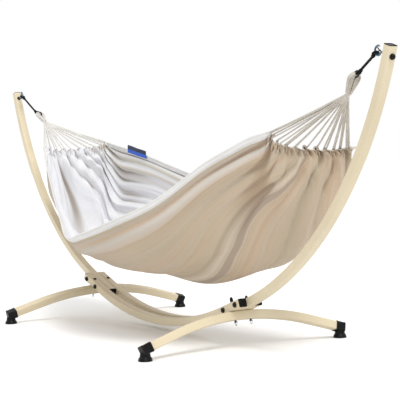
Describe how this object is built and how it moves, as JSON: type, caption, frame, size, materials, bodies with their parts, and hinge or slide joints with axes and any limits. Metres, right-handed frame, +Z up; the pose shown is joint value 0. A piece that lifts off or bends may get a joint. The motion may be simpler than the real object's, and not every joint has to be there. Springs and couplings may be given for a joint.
{
  "type": "hammock on stand",
  "caption": "Gathered-end cloth hammock hung by cords, carabiners and ropes from hooks at the tips of a curved steel tube stand with arched foot bars.",
  "frame": {"origin": "on the ground, below the middle of the stand", "axes": "+X along the stand to its right-hand end, -Y towards the near side, +Z up"},
  "size_m": [3.7496, 1.1012, 1.2881],
  "materials": {
    "painted_steel": "satin cream powder coat",
    "black_plastic": "smooth moulded",
    "black_steel": "black coated",
    "bright_steel": "zinc plated",
    "black_rope": "braided",
    "cotton_cord": "twisted, natural white",
    "cotton_cloth": "woven, natural white with tan and grey stripes",
    "label_fabric": "woven, plain blue"
  },
  "bodies": {
    "stand": {"far_base_rail": "painted_steel", "left_arm_bottom_plug": "black_plastic", "left_arm_top_plug": "black_plastic", "left_arm_tube": "painted_steel", "left_far_foot_cap": "black_plastic", "left_far_foot_pin": "black_plastic", "left_far_pin_clip": "bright_steel", "left_far_rail_plug": "black_plastic", "left_foot_bar": "painted_steel", "left_hook_bolt": "bright_steel", "left_hook_collar": "black_steel", "left_hook_nut": "black_plastic", "left_inner_joint_bolt": "black_steel", "left_inner_joint_nut": "black_plastic", "left_near_foot_cap": "black_plastic", "left_near_foot_pin": "black_plastic", "left_near_pin_clip": "bright_steel", "left_near_rail_plug": "black_plastic", "left_outer_joint_bolt": "black_steel", "left_outer_joint_nut": "black_plastic", "near_base_rail": "painted_steel", "right_arm_bottom_plug": "black_plastic", "right_arm_top_plug": "black_plastic", "right_arm_tube": "painted_steel", "right_far_foot_cap": "black_plastic", "right_far_foot_pin": "black_plastic", "right_far_pin_clip": "bright_steel", "right_far_rail_plug": "black_plastic", "right_foot_bar": "painted_steel", "right_hook_bolt": "bright_steel", "right_hook_collar": "black_steel", "right_hook_nut": "black_plastic", "right_inner_joint_bolt": "black_steel", "right_inner_joint_nut": "black_plastic", "right_near_foot_cap": "black_plastic", "right_near_foot_pin": "black_plastic", "right_near_pin_clip": "bright_steel", "right_near_rail_plug": "black_plastic", "right_outer_joint_bolt": "black_steel", "right_outer_joint_nut": "black_plastic"},
    "hammock": {"edge_label": "label_fabric", "hammock_cloth": "cotton_cloth", "left_carabiner_body": "black_steel", "left_cord_fan": "cotton_cord", "left_cord_loop": "cotton_cord", "left_rope_link": "black_rope", "right_carabiner_body": "black_steel", "right_cord_fan": "cotton_cord", "right_cord_loop": "cotton_cord", "right_rope_link": "black_rope"},
    "left_latch": {"left_hook_latch": "black_steel"},
    "right_latch": {"right_hook_latch": "black_steel"},
    "left_gate": {"left_carabiner_gate": "bright_steel"},
    "right_gate": {"right_carabiner_gate": "bright_steel"}
  },
  "joints": [
    {"name": "hammock_swing", "type": "hinge", "parent": "stand", "child": "hammock", "pos_m": [0, 0, 1.25545], "axis": [1, 0, 0], "range_deg": [-30, 30]},
    {"name": "right_latch_hinge", "type": "hinge", "parent": "stand", "child": "right_latch", "pos_m": [1.78827, 0, 1.2634], "axis": [0, -1, 0], "range_deg": [0, 15], "stiffness_Nm_per_rad": 0.02, "springref_deg": -5.73},
    {"name": "left_latch_hinge", "type": "hinge", "parent": "stand", "child": "left_latch", "pos_m": [-1.78827, 0, 1.2634], "axis": [0, 1, 0], "range_deg": [0, 15], "stiffness_Nm_per_rad": 0.02, "springref_deg": -5.73},
    {"name": "right_gate_hinge", "type": "hinge", "parent": "hammock", "child": "right_gate", "pos_m": [1.60682, 0.02444, 1.19765], "axis": [-0.1492, -0.9888, 0], "range_deg": [0, 13], "stiffness_Nm_per_rad": 0.02, "springref_deg": -5.73},
    {"name": "left_gate_hinge", "type": "hinge", "parent": "hammock", "child": "left_gate", "pos_m": [-1.58352, 0.02405, 1.15785], "axis": [-0.1821, 0.9833, 0], "range_deg": [0, 13], "stiffness_Nm_per_rad": 0.02, "springref_deg": -5.73}
  ]
}
